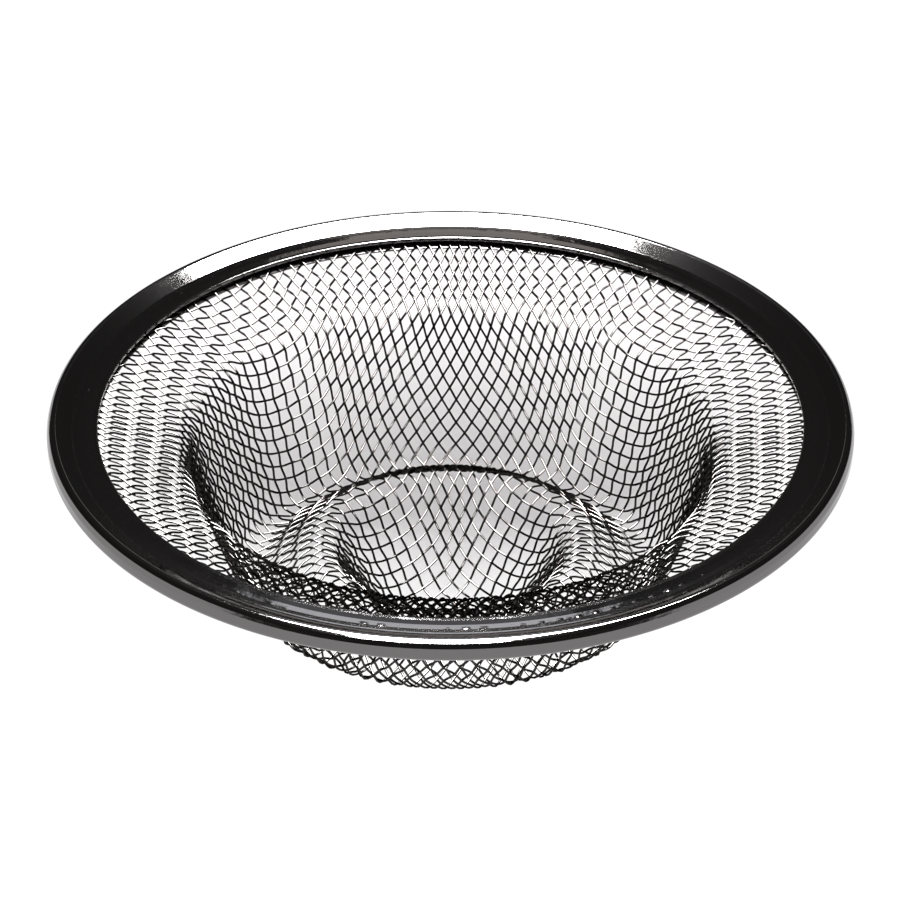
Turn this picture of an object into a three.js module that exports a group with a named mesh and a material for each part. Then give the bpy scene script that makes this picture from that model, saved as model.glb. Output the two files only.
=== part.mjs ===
// Basket strainer for a sink or tub drain: a dished basket of woven steel wire, its edge clamped
// between a flat lower ring and a sheet-metal rim ring with a rolled outer bead.
// Millimetres, +Z up, z = 0 at the lowest point of the basket, the strainer's axis on Z.
import * as THREE from 'three';

// ---- driving dimensions ------------------------------------------------------------------------
const OUTER_R = 57.0;          // outside of the rolled bead
const BEAD_W = 2.4;            // the rolled bead's width and height
const BEAD_H = 3.35;
const SHEET = 0.4;             // thickness of both rings' sheet
const MOUTH_R = 49.8;          // inner edge of the rim ring
const STEP_R = 52.9;           // where the rim ring steps down onto the clamped edge
const CLOTH_EDGE_R = 52.6;     // trimmed edge of the cloth, inside the rim
const WIRE = 0.33;             // wire diameter; woven cloth is two wires thick
const GAP = 0.3;               // clearance left between neighbouring solids

// Centre line of the cloth in the plane (radius, depth below the top of the bead), from the axis
// outwards: [radius, depth, bend radius at that corner].
const BASKET = [
  [0.0, 35.4, 0],              // middle of the well's flat bottom
  [7.1, 35.4, 4.0],            // edge of the well's bottom
  [18.1, 19.85, 3.5],          // raised ridge round the well (before rounding)
  [29.1, 28.45, 2.4],          // gutter between the ridge and the outer wall (before rounding)
  [37.6, 5.45, 4.0],           // shoulder where the wall turns out into the brim
  [MOUTH_R, 2.0, 6.0],         // brim goes under the rim ring
  [CLOTH_EDGE_R, 1.9, 0],
];

// Upper surface of the rim ring's sheet, from the mouth out over the bead and back up inside it.
const RIM = [
  [MOUTH_R, 1.2, 0],           // lip turned down at the mouth
  [MOUTH_R, 0.75, 0.25],
  [52.4, 0.8, 0.2],            // flat inner band over the cloth's edge
  [STEP_R, 0.97, 0.3],         // small step down
  [OUTER_R - 1.11, -0.056, 0.5],   // outer band climbs to the crest (before rounding)
  [OUTER_R, 0.586, 1.5],       // shoulder of the bead
  [OUTER_R, BEAD_H, 1.2],      // bottom of the bead
  [OUTER_R - BEAD_W, BEAD_H, 0.9],
  [OUTER_R - BEAD_W, 1.6, 0],  // end of the curl
];

const CLOTH_T = 2 * WIRE;
const EDGE_DEPTH = BASKET[BASKET.length - 1][1];
const BASKET_DEPTH = BASKET[0][1] + CLOTH_T / 2;   // top of bead to the underside of the well
const RIM_TOP = BASKET_DEPTH;                      // height of the top of the bead
const SEGMENTS = 80;
const ARC_STEP = THREE.MathUtils.degToRad(18);

// ---- shape helpers -----------------------------------------------------------------------------
const point = (r, depth) => new THREE.Vector2(r, RIM_TOP - depth);

// Points along an arc in the (radius, height) plane, both ends included.
function arc(centre, radius, from, to, step = ARC_STEP) {
  const n = Math.max(2, Math.ceil(Math.abs(to - from) / step));
  return Array.from({ length: n + 1 }, (_, i) => {
    const a = from + ((to - from) * i) / n;
    return new THREE.Vector2(centre.x + radius * Math.cos(a), centre.y + radius * Math.sin(a));
  });
}

// A polyline through corners [radius, depth, bend], each corner rounded to its bend radius.
function roundedLine(corners) {
  const pts = corners.map(([r, depth]) => point(r, depth));
  const line = [pts[0]];
  for (let i = 1; i < pts.length - 1; i += 1) {
    const back = pts[i - 1].clone().sub(pts[i]);
    const ahead = pts[i + 1].clone().sub(pts[i]);
    const half = Math.abs(Math.atan2(back.cross(ahead), back.dot(ahead))) / 2;
    const reach = Math.min(corners[i][2] / Math.tan(half), 0.49 * back.length(), 0.49 * ahead.length());
    const radius = reach * Math.tan(half);
    back.normalize();
    ahead.normalize();
    const middle = back.clone().add(ahead).normalize();
    const centre = pts[i].clone().addScaledVector(middle, radius / Math.sin(half));
    const start = pts[i].clone().addScaledVector(back, reach).sub(centre);
    const end = pts[i].clone().addScaledVector(ahead, reach).sub(centre);
    const from = Math.atan2(start.y, start.x);
    line.push(...arc(centre, radius, from, from + Math.atan2(start.cross(end), start.dot(end))));
  }
  line.push(pts[pts.length - 1]);
  return line;
}

// The line moved sideways by a distance, to the left of its direction when positive.
function offset(line, distance) {
  return line.map((p, i) => {
    const a = line[Math.max(i - 1, 0)];
    const b = line[Math.min(i + 1, line.length - 1)];
    const along = b.clone().sub(a).normalize();
    return new THREE.Vector2(p.x - along.y * distance, p.y + along.x * distance);
  });
}

// A closed section of even thickness about a centre line.
function strip(line, thickness) {
  const left = offset(line, thickness / 2);
  const right = offset(line, -thickness / 2);
  return [...right, ...left.reverse()];
}

// Turns a counter-clockwise section about the Z axis.
function turned(name, section, onAxis, look) {
  const profile = onAxis ? section : [...section, section[0].clone()];
  const geometry = new THREE.LatheGeometry(profile, SEGMENTS);
  geometry.rotateX(Math.PI / 2);
  const mesh = new THREE.Mesh(geometry, new THREE.MeshStandardMaterial(look));
  mesh.name = name;
  return mesh;
}

// ---- sub-parts ---------------------------------------------------------------------------------
const POLISHED = { color: 0x8f8f90, roughness: 0.12, metalness: 1.0 };
const MILL = { color: 0x9a9a9a, roughness: 0.35, metalness: 1.0 };
const CLOTH = { color: 0x767272, roughness: 0.3, metalness: 1.0 };

// Rim ring: one pressed sheet. From the mouth outwards it is a flat inner band over the cloth's
// edge, a small step, a band that climbs to the crest, and the bead rolled most of the way round.
function rimRing() {
  const middle = offset(roundedLine(RIM), -SHEET / 2);
  return turned('rim_ring', strip(middle, SHEET), false, POLISHED);
}

// Clamp ring: a plain flat washer under the cloth's edge, held inside the curl of the bead.
function clampRing() {
  const top = EDGE_DEPTH + CLOTH_T / 2 + GAP;
  const inner = MOUTH_R + 0.3;
  const outer = OUTER_R - BEAD_W - GAP;
  const section = [
    point(inner, top + SHEET),
    point(outer, top + SHEET),
    point(outer, top),
    point(inner, top),
  ];
  return turned('clamp_ring', section, false, MILL);
}

// Woven basket: the cloth as a closed sheet two wires thick in its pressed shape.
function wireCloth() {
  const middle = roundedLine(BASKET);
  const under = offset(middle, -CLOTH_T / 2);
  const upper = offset(middle, CLOTH_T / 2);
  under[0].x = 0;
  upper[0].x = 0;
  return turned('wire_cloth', [...under, ...upper.reverse()], true, CLOTH);
}

const strainer = new THREE.Group();
strainer.name = 'basket_strainer';
strainer.add(rimRing(), clampRing(), wireCloth());

export default strainer;
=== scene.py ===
"""Looks of the basket strainer: polished rim, clamp ring and a basket woven from single wires.

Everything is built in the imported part's frame, in metres. The part's own lengths are named in
millimetres and go through MM; the stage is named in metres. The basket is real cloth: a net of even
cells laid over the pressed shape, each wire of it a tube that passes over one crossing wire and under
the next.
"""

import math
import random

import bpy
import numpy as np
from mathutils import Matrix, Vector


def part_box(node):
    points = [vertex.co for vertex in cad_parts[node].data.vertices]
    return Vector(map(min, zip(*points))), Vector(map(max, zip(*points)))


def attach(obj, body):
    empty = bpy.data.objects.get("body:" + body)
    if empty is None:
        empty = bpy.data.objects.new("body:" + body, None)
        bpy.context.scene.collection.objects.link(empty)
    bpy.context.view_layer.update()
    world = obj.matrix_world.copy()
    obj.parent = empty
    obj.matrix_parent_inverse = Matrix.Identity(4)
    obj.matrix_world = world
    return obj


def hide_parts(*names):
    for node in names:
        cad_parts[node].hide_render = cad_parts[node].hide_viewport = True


MM = 0.001
TAU = 2 * math.pi

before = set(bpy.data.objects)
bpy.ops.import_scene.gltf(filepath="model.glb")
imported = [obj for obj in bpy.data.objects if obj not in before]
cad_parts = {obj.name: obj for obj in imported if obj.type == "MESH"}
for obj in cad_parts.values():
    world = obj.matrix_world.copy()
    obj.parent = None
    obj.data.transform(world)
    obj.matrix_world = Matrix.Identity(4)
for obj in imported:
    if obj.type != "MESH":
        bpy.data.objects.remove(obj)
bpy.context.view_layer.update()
random.seed(7)

# ---- driving dimensions, in millimetres ----------------------------------------------------------
RIM_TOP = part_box("rim_ring")[1].z / MM
OUTER_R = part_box("rim_ring")[1].x / MM
BEAD_W, BEAD_H = 2.4, 3.35     # width and height of the rolled bead
SHEET = 0.4
MOUTH_R = 49.8
STEP_R = 52.9
CLOTH_EDGE_R = 52.6
CLAMP_SETBACK = 0.3            # how far the clamp ring's hole stays back from the mouth
CLAMP_MIDDLE_R = 52.0
RIM_SEGMENTS, CLAMP_SEGMENTS = 900, 360

WIRE_R = 0.165
WIRE_SIDES = 6
CELL = 2.03                    # spacing of the wires along each other
BIAS_TURN = 43.5               # turn of the warp direction about +Z, in degrees
FEWEST_CROSSINGS = 3           # a snippet of wire with fewer at the cloth's edge is left out

# Centre line of the cloth: radius, depth below the rim's top, bend radius at the corner.
BASKET = [
    (0.0, 35.4, 0.0),
    (7.1, 35.4, 4.0),
    (18.1, 19.85, 3.5),
    (29.1, 28.45, 2.4),
    (37.6, 5.45, 4.0),
    (MOUTH_R, 2.0, 6.0),
    (CLOTH_EDGE_R + 0.4, 1.88, 0.0),
]

# Upper surface of the rim's sheet in the same terms, from the mouth out over the bead and back up
# inside it.
RIM = [
    (MOUTH_R, 1.2, 0.0),
    (MOUTH_R, 0.74, 0.15),
    (50.1, 0.745, 0.2),
    (50.45, 0.81, 0.2),
    (51.5, 0.812, 0.3),
    (52.45, 0.872, 0.1),
    (STEP_R + 0.2, 0.962, 0.06),
    (STEP_R + 0.55, 0.984, 0.06),
    (OUTER_R - 1.25, 0.0, 0.5),
    (OUTER_R - 0.7, 0.06, 0.5),
    (OUTER_R - 0.28, 0.45, 0.5),
    (OUTER_R, 1.25, 1.0),
    (OUTER_R, BEAD_H, 1.2),
    (OUTER_R - BEAD_W, BEAD_H, 0.9),
    (OUTER_R - BEAD_W, 1.6, 0.0),
]

# Fine detail of the rim's upper side. Each has a middle radius, a reach to both sides and a height.
UPPER_DEPTH = 1.4                                     # the upper side ends this far below the top
BAND_R, BAND_REACH, BAND_WAVE = 51.4, 1.1, 0.007      # slight waviness of the inner band
BUMP_R, BUMP_REACH, BUMP_HEIGHT = 52.2, 0.16, 0.06    # wire ends that press up at its outer edge
BUMP_FROM = 0.7                                       # bumps rise where their wave is above this
MARK_R, MARK_REACH, MARK_DEPTH = 54.3, 0.7, 0.09      # plain ticks pressed into the outer band
MARK_FLOOR, MARK_WIDTH = 0.9, 0.22                    # depth where ticks end, half width of a tick
MARK_COUNT, MARK_PITCH, FIRST_MARK = 5, 2.6, 129      # pitch and first place in degrees
BAND_RADII = (50.9, 51.2)                             # extra points of the sheet for the band
BUMP_RADII = (51.95, 52.08, 52.2, 52.32)              # and for the bumps

# ---- stage, in metres ----------------------------------------------------------------------------
FLOOR_REACH = 6.0
FLOOR_GLOW = 1.05
PATCH_COLOUR = (0.0555, 0.0536, 0.0543, 1)
PATCH_CENTRE = (0, 0.06, 0)
PATCH_FULL_R, PATCH_END_R = 0.035, 0.062
WORLD_COLOUR = (0.042, 0.04, 0.039, 1)

# Name, place from the rim's centre, size, watts and colour. The overhead softbox lights the part. The
# small ones are there to be mirrored in the inner band: low_back in its far side, high_back in its near
# side and edge_back in the near side's outer edge.
LAMPS = [
    ("overhead", (-0.004, -0.03, 0.8), (0.5, 1.12), 180.0, (1.0, 1.0, 1.0)),
    ("low_back", (0, 0.875, 0.43), (0.09, 0.2), 0.046, (1.0, 0.94, 0.9)),
    ("high_back", (-0.01, 0.79, 0.61), (0.09, 0.12), 0.0115, (0.9, 0.94, 1.0)),
    ("edge_back", (-0.01, 0.73, 0.69), (0.16, 0.10), 0.11, (0.93, 0.95, 1.0)),
]

# ---- camera, in millimetres ----------------------------------------------------------------------
CAMERA_DISTANCE = 1000.0
CAMERA_ELEVATION = 32.5
CAMERA_LENS = 283.4
CAMERA_SHIFT = (-0.0006, -0.0404)    # in widths of the picture
AIM_ABOVE = 0.25                     # the camera looks at a point on the axis this far above the rim


# ---- curves in the (radius, height) plane --------------------------------------------------------
def arc(centre, radius, start, end, step=math.radians(6)):
    """Points on an arc, both ends included."""
    count = max(2, math.ceil(abs(end - start) / step))
    angles = np.linspace(start, end, count + 1)
    return [(centre[0] + radius * math.cos(a), centre[1] + radius * math.sin(a)) for a in angles]


def rounded_line(corners, step=math.radians(6)):
    """The line through corners (radius, depth, bend), each corner rounded to its bend radius."""
    pts = [Vector((r, RIM_TOP - depth)) for r, depth, _ in corners]
    line = [tuple(pts[0])]
    for i in range(1, len(pts) - 1):
        back, ahead = pts[i - 1] - pts[i], pts[i + 1] - pts[i]
        half = back.angle(ahead) / 2
        reach = min(corners[i][2] / math.tan(half), 0.49 * back.length, 0.49 * ahead.length)
        radius = reach * math.tan(half)
        back.normalize()
        ahead.normalize()
        centre = pts[i] + (back + ahead).normalized() * (radius / math.sin(half))
        start = pts[i] + back * reach - centre
        end = pts[i] + ahead * reach - centre
        begin = math.atan2(start.y, start.x)
        sweep = (math.atan2(end.y, end.x) - begin + math.pi) % TAU - math.pi
        line += arc(centre, radius, begin, begin + sweep, step)
    line.append(tuple(pts[-1]))
    return np.array(line)


def offset(line, distance):
    """The line moved sideways, to the left of its direction when positive."""
    steps = np.diff(line, axis=0)
    steps /= np.linalg.norm(steps, axis=1)[:, None]
    along = np.vstack([steps[:1], steps[:-1] + steps[1:], steps[-1:]])
    along /= np.linalg.norm(along, axis=1)[:, None]
    return line + distance * np.column_stack([-along[:, 1], along[:, 0]])


def with_stays(line, near=0.05, shortest=0.4):
    """The line with a point close to both ends of each longer straight, so that it shades flat."""
    points = [line[0]]
    for a, b in zip(line[:-1], line[1:]):
        length = np.linalg.norm(b - a)
        if length > shortest:
            points += [a + (b - a) * near / length, b - (b - a) * near / length]
        points.append(b)
    return np.array(points)


def with_radii(line, radii):
    """The line with points added at the given radii, all on one straight of its way outwards."""
    after = int(np.searchsorted(line[:, 0], radii[0]))
    heights = np.interp(radii, line[after - 1 : after + 1, 0], line[after - 1 : after + 1, 1])
    return np.insert(line, after, np.column_stack([radii, heights]), axis=0)


def strip(line, thickness):
    """A closed section of even thickness on the right of a line, with rounded ends."""
    def cap(side, other, heading):
        ends = heading - math.pi / 2, heading + math.pi / 2
        return arc((side + other) / 2, thickness / 2, *ends, math.radians(36))[1:-1]
    under = offset(line, -thickness)
    # At a tight bend the parallel line folds over itself and comes too close; those points are dropped.
    clear = np.linalg.norm(under[:, None] - line[None], axis=2).min(axis=1) > 0.97 * thickness
    first, last = line[0] - line[1], line[-1] - line[-2]
    return np.array(
        list(under[clear])
        + cap(line[-1], under[-1], math.atan2(last[1], last[0]))
        + list(line[::-1])
        + cap(line[0], under[0], math.atan2(first[1], first[0]))
    )


# ---- meshes --------------------------------------------------------------------------------------
def new_mesh(name, verts, faces, material):
    """A smooth-shaded mesh object from vertices in millimetres."""
    mesh = bpy.data.meshes.new(name)
    mesh.from_pydata((np.asarray(verts) * MM).tolist(), [], faces)
    mesh.update()
    mesh.shade_smooth()
    mesh.materials.append(material)
    obj = bpy.data.objects.new(name, mesh)
    bpy.context.scene.collection.objects.link(obj)
    return obj


def turned(name, section, segments, material, detail=None):
    """The closed counter-clockwise section turned about Z; detail(radius, height, angles) shifts it."""
    count = len(section)
    angles = np.arange(segments) * TAU / segments
    radius = np.repeat(section[:, :1], segments, axis=1)
    height = np.repeat(section[:, 1:], segments, axis=1)
    if detail:
        radius, height = detail(radius, height, angles)
    verts = np.stack([radius * np.cos(angles), radius * np.sin(angles), height], axis=-1)
    i, j = np.meshgrid(np.arange(count), np.arange(segments), indexing="ij")
    ni, nj = (i + 1) % count, (j + 1) % segments
    faces = np.stack([i * segments + j, i * segments + nj, ni * segments + nj, ni * segments + j], -1)
    return new_mesh(name, verts.reshape(-1, 3), faces.reshape(-1, 4).tolist(), material)


# ---- the cloth -----------------------------------------------------------------------------------
class Pressed:
    """The basket's pressed surface, addressed by arc length from the axis and by angle."""

    def __init__(self, corners):
        self.line = rounded_line(corners)
        steps = np.linalg.norm(np.diff(self.line, axis=0), axis=1)
        self.length = np.concatenate([[0], np.cumsum(steps)])

    def radius(self, s):
        return np.interp(s, self.length, self.line[:, 0])

    def height(self, s):
        return np.interp(s, self.length, self.line[:, 1])

    def at_radius(self, r):
        return float(np.interp(r, self.line[:, 0], self.length))

    def point(self, s, angle):
        r = self.radius(s)
        return np.array([r * math.cos(angle), r * math.sin(angle), self.height(s)])

    def normal(self, s, angle, reach=0.35):
        """Upward normal, averaged over a short stretch of the profile."""
        dr = self.radius(s + reach) - self.radius(max(s - reach, 0))
        dz = self.height(s + reach) - self.height(max(s - reach, 0))
        size = math.hypot(dr, dz)
        return np.array([-dz / size * math.cos(angle), -dz / size * math.sin(angle), dr / size])


def next_on_meridian(surface, s):
    """Arc length of the point one cell further out along a meridian."""
    low, high = s + 0.4 * CELL, s + 1.6 * CELL
    here = surface.point(s, 0)
    for _ in range(40):
        middle = (low + high) / 2
        if np.linalg.norm(surface.point(middle, 0) - here) < CELL:
            low = middle
        else:
            high = middle
    return middle


def close_cell(surface, a, b, c, limit):
    """The surface point one cell from a and from b, across the cell from c, or None if none is found.

    The search is Newton's, with each step kept to a stride, in millimetres.
    """
    guess = a + b - c
    s = surface.at_radius(min(math.hypot(guess[0], guess[1]), limit))
    angle = math.atan2(guess[1], guess[0])
    stride = 0.8
    for _ in range(25):
        p = surface.point(s, angle)
        miss = np.array([(p - a) @ (p - a) - CELL**2, (p - b) @ (p - b) - CELL**2])
        if np.abs(miss).max() < 1e-7:
            return s, angle
        by_s = (surface.point(s + 1e-3, angle) - surface.point(s - 1e-3, angle)) / 2e-3
        by_angle = np.array([-p[1], p[0], 0.0])
        slope = 2 * np.array([[(p - a) @ by_s, (p - a) @ by_angle], [(p - b) @ by_s, (p - b) @ by_angle]])
        step = np.linalg.solve(slope, -miss)
        turn = stride / max(math.hypot(p[0], p[1]), 1)
        s = min(max(s + np.clip(step[0], -stride, stride), 0.0), surface.length[-1])
        angle += np.clip(step[1], -turn, turn)
    return None


def net_quadrant(surface, edge):
    """Places of the wire crossings over a quarter of the basket, as {(i, j): (s, angle)}."""
    limit = float(surface.line[-1, 0])
    spots = {(0, 0): (0.0, 0.0)}
    s, i = 0.0, 0
    while True:
        s, i = next_on_meridian(surface, s), i + 1
        if s > edge:
            break
        spots[i, 0], spots[0, i] = (s, 0.0), (s, math.pi / 2)
    reach = i
    places = {k: surface.point(*v) for k, v in spots.items()}
    for diagonal in range(2, 2 * reach):
        for i in range(max(1, diagonal - reach), min(diagonal, reach)):
            j = diagonal - i
            around = [(i - 1, j), (i, j - 1), (i - 1, j - 1)]
            if j >= reach or any(k not in places for k in around):
                continue
            found = close_cell(surface, *(places[k] for k in around), limit)
            if found and found[0] <= edge:
                spots[i, j] = found
                places[i, j] = surface.point(*found)
    return spots


def crossings(surface, edge):
    """All wire crossings as {(i, j): (point, normal)}, four turned copies of one quadrant."""
    net = {}
    for (i, j), (s, angle) in net_quadrant(surface, edge).items():
        for quarter in range(4):
            turn = angle + quarter * math.pi / 2 + math.radians(BIAS_TURN)
            net[i, j] = surface.point(s, turn), surface.normal(s, turn)
            i, j = -j, i
    return net


def runs(net, family):
    """Unbroken rows of crossings, one for each wire of the family (0 warp, 1 weft)."""
    rows = {}
    for key in net:
        rows.setdefault(key[1 - family], []).append(key)
    for _, keys in sorted(rows.items()):
        keys.sort(key=lambda k: k[family])
        run = [keys[0]]
        for k in keys[1:]:
            if k[family] != run[-1][family] + 1:
                yield run
                run = []
            run.append(k)
        yield run


def wire_path(net, run, family, per_cell=3):
    """Smooth centre line of a wire that rises over and dips under its crossings by turns."""
    side = [1 if (i + j + family) % 2 else -1 for i, j in run]
    knots = np.array([net[k][0] + up * WIRE_R * net[k][1] for k, up in zip(run, side)])
    ahead = np.vstack([2 * knots[:1] - knots[1:2], knots, 2 * knots[-1:] - knots[-2:-1]])
    path = []
    for n in range(1, len(ahead) - 2):
        a, b, c, d = ahead[n - 1 : n + 3]
        for t in np.arange(per_cell) / per_cell:
            path.append(
                b + 0.5 * t * (c - a + t * (2 * a - 5 * b + 4 * c - d + t * (3 * (b - c) + d - a)))
            )
    path.append(knots[-1])
    return np.array(path)


def tube(path, radius, sides):
    """Vertices and faces of a closed round tube along a path."""
    along = np.gradient(path, axis=0)
    along /= np.linalg.norm(along, axis=1)[:, None]
    across = np.cross(along, np.array([0.0, 0.0, 1.0]))
    across /= np.maximum(np.linalg.norm(across, axis=1)[:, None], 1e-9)
    above = np.cross(across, along)
    turn = (np.arange(sides) + 0.5) * TAU / sides
    ring = np.cos(turn)[None, :, None] * across[:, None] + np.sin(turn)[None, :, None] * above[:, None]
    verts = (path[:, None] + radius * ring).reshape(-1, 3)
    faces = []
    for n in range(len(path) - 1):
        for k in range(sides):
            m = (k + 1) % sides
            faces.append((n * sides + k, (n + 1) * sides + k, (n + 1) * sides + m, n * sides + m))
    faces.append(tuple(range(sides)))
    faces.append(tuple(reversed(range(len(verts) - sides, len(verts)))))
    return verts, faces


def woven(name, net, family, material):
    """All wires of one family as one mesh of separate closed tubes."""
    verts, faces, base = [], [], 0
    for run in runs(net, family):
        if len(run) < FEWEST_CROSSINGS:
            continue
        v, f = tube(wire_path(net, run, family), WIRE_R, WIRE_SIDES)
        verts.append(v)
        faces += [tuple(base + k for k in face) for face in f]
        base += len(v)
    return new_mesh(name, np.vstack(verts), faces, material)


# ---- materials -----------------------------------------------------------------------------------
def metal(name, colour, roughness, edge=1.0, bump=0.0, bump_scale=700.0):
    """Bare steel; edge dims the glancing reflection, bump adds fine unevenness to the polish."""
    mat = bpy.data.materials.new(name)
    mat.use_nodes = True
    nodes, links = mat.node_tree.nodes, mat.node_tree.links
    bsdf = nodes["Principled BSDF"]
    bsdf.inputs["Base Color"].default_value = (*colour, 1)
    bsdf.inputs["Metallic"].default_value = 1.0
    bsdf.inputs["Roughness"].default_value = roughness
    bsdf.inputs["Specular Tint"].default_value = (edge, edge, edge, 1)
    if bump:
        place = nodes.new("ShaderNodeTexCoord")
        noise = nodes.new("ShaderNodeTexNoise")
        noise.inputs["Scale"].default_value = bump_scale
        noise.inputs["Detail"].default_value = 3.0
        raised = nodes.new("ShaderNodeBump")
        raised.inputs["Strength"].default_value = bump
        raised.inputs["Distance"].default_value = 0.0001
        links.new(place.outputs["Object"], noise.inputs["Vector"])
        links.new(noise.outputs["Fac"], raised.inputs["Height"])
        links.new(raised.outputs["Normal"], bsdf.inputs["Normal"])
    return mat


rim_steel = metal("rim_steel", (0.165, 0.159, 0.159), 0.075, bump=0.1)
clamp_steel = metal("clamp_steel", (0.2, 0.19, 0.19), 0.3)
wire_steel = metal("wire_steel", (0.05, 0.047, 0.046), 0.14, edge=0.0)


# ---- rim ring ------------------------------------------------------------------------------------
def rim_section():
    """One pressed sheet: lip, inner band over the cloth's edge, step, outer band and rolled bead."""
    outside = rounded_line(RIM, math.radians(10))
    for radii in (BAND_RADII, BUMP_RADII):
        outside = with_radii(outside, radii)
    return strip(with_stays(outside), SHEET)


def waves(angles, low, high, count=9):
    """An uneven wave round the rim, the sum of random whole numbers of periods; mostly -1.5 to 1.5."""
    parts = [(random.randint(low, high), random.uniform(0, TAU)) for _ in range(count)]
    return sum(np.cos(n * angles + phase) for n, phase in parts) / count**0.5


def rim_detail(radius, height, angles):
    """Unevenness of the inner band, wire ends that press up through it, plain marks on the outer."""
    upper = height > RIM_TOP - UPPER_DEPTH
    inner = np.exp(-(((radius - BAND_R) / BAND_REACH) ** 4)) * upper
    height = height + BAND_WAVE * inner * waves(angles, 20, 70)
    beside = np.exp(-(((radius - BUMP_R) / BUMP_REACH) ** 2)) * upper
    height = height + BUMP_HEIGHT * beside * np.maximum(waves(angles, 110, 300) - BUMP_FROM, 0)
    outer = np.exp(-(((radius - MARK_R) / MARK_REACH) ** 4)) * (height > RIM_TOP - MARK_FLOOR)
    for mark in np.arange(MARK_COUNT) * math.radians(MARK_PITCH) + math.radians(FIRST_MARK):
        away = (angles - mark) * MARK_R
        height = height - MARK_DEPTH * outer * np.exp(-((away / MARK_WIDTH) ** 2))
    return radius, height


rim = turned("rim_ring_polished", rim_section(), RIM_SEGMENTS, rim_steel, rim_detail)
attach(rim, "root")
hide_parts("rim_ring")


# ---- clamp ring ----------------------------------------------------------------------------------
def clamp_section():
    """Flat washer with softly rounded edges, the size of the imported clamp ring."""
    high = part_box("clamp_ring")[1]
    inner, outer, top = MOUTH_R + CLAMP_SETBACK, high.x / MM, high.z / MM
    line = np.array([(inner + SHEET / 2, top), (CLAMP_MIDDLE_R, top), (outer - SHEET / 2, top)])
    return strip(line, SHEET)


clamp = turned("clamp_ring_plain", clamp_section(), CLAMP_SEGMENTS, clamp_steel)
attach(clamp, "root")
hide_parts("clamp_ring")

# ---- woven basket --------------------------------------------------------------------------------
basket = Pressed(BASKET)
net = crossings(basket, basket.at_radius(CLOTH_EDGE_R))
for family, name in enumerate(("warp_wires", "weft_wires")):
    wires = woven(name, net, family, wire_steel)
    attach(wires, "root")
    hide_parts("wire_cloth")


# ---- stage, lights and camera --------------------------------------------------------------------
def floor_material():
    """A floor that glows evenly white, with a soft round patch of dark matt base behind the axis.

    The patch lies where the camera sees the floor through the cloth. The softbox lights it up to near
    white, and it is the only place on the floor that takes a shadow.
    """
    mat = bpy.data.materials.new("bright_floor")
    mat.use_nodes = True
    nodes, links = mat.node_tree.nodes, mat.node_tree.links
    matt = nodes["Principled BSDF"]
    matt.inputs["Base Color"].default_value = PATCH_COLOUR
    matt.inputs["Roughness"].default_value = 1.0
    matt.inputs["Specular IOR Level"].default_value = 0.0
    bright = nodes.new("ShaderNodeEmission")
    bright.inputs["Color"].default_value = (1, 1, 1, 1)
    bright.inputs["Strength"].default_value = FLOOR_GLOW
    place = nodes.new("ShaderNodeTexCoord")
    away = nodes.new("ShaderNodeVectorMath")
    away.operation = "DISTANCE"
    away.inputs[1].default_value = PATCH_CENTRE
    fade = nodes.new("ShaderNodeMapRange")
    fade.interpolation_type = "SMOOTHSTEP"
    fade.inputs["From Min"].default_value = PATCH_END_R
    fade.inputs["From Max"].default_value = PATCH_FULL_R
    mixed = nodes.new("ShaderNodeMixShader")
    links.new(place.outputs["Object"], away.inputs[0])
    links.new(away.outputs["Value"], fade.inputs["Value"])
    links.new(fade.outputs["Result"], mixed.inputs["Fac"])
    links.new(bright.outputs["Emission"], mixed.inputs[1])
    links.new(matt.outputs["BSDF"], mixed.inputs[2])
    links.new(mixed.outputs["Shader"], nodes["Material Output"].inputs["Surface"])
    return mat


def area_light(name, place, target, size, power, colour):
    """A rectangular softbox at place that faces target."""
    data = bpy.data.lights.new(name, "AREA")
    data.shape = "RECTANGLE"
    data.size, data.size_y = size
    data.energy = power
    data.color = colour
    lamp = bpy.data.objects.new(name, data)
    lamp.location = place
    lamp.rotation_mode = "QUATERNION"
    lamp.rotation_quaternion = (target - place).to_track_quat("-Z", "Y")
    bpy.context.scene.collection.objects.link(lamp)


floor_mesh = bpy.data.meshes.new("floor")
corners = [(x * FLOOR_REACH, y * FLOOR_REACH, 0) for x, y in ((-1, -1), (1, -1), (1, 1), (-1, 1))]
floor_mesh.from_pydata(corners, [], [(0, 1, 2, 3)])
floor_mesh.materials.append(floor_material())
floor = bpy.data.objects.new("floor", floor_mesh)
bpy.context.scene.collection.objects.link(floor)

heart = Vector((0, 0, (RIM_TOP + AIM_ABOVE) * MM))
for name, place, size, power, colour in LAMPS:
    area_light(name, heart + Vector(place), heart, size, power, colour)

world = bpy.data.worlds.new("studio")
world.use_nodes = True
world.node_tree.nodes["Background"].inputs["Color"].default_value = WORLD_COLOUR
world.node_tree.nodes["Background"].inputs["Strength"].default_value = 1.0
bpy.context.scene.world = world

elevation = math.radians(CAMERA_ELEVATION)
back = Vector((0, -math.cos(elevation), math.sin(elevation)))
lens = bpy.data.cameras.new("camera")
lens.sensor_width = 36
lens.lens = CAMERA_LENS
lens.shift_x, lens.shift_y = CAMERA_SHIFT
lens.clip_start, lens.clip_end = 0.05, 50
camera = bpy.data.objects.new("camera", lens)
camera.location = heart + back * CAMERA_DISTANCE * MM
camera.rotation_mode = "QUATERNION"
camera.rotation_quaternion = (-back).to_track_quat("-Z", "Y")
bpy.context.scene.collection.objects.link(camera)
bpy.context.scene.camera = camera
bpy.context.scene.view_settings.view_transform = "Standard"
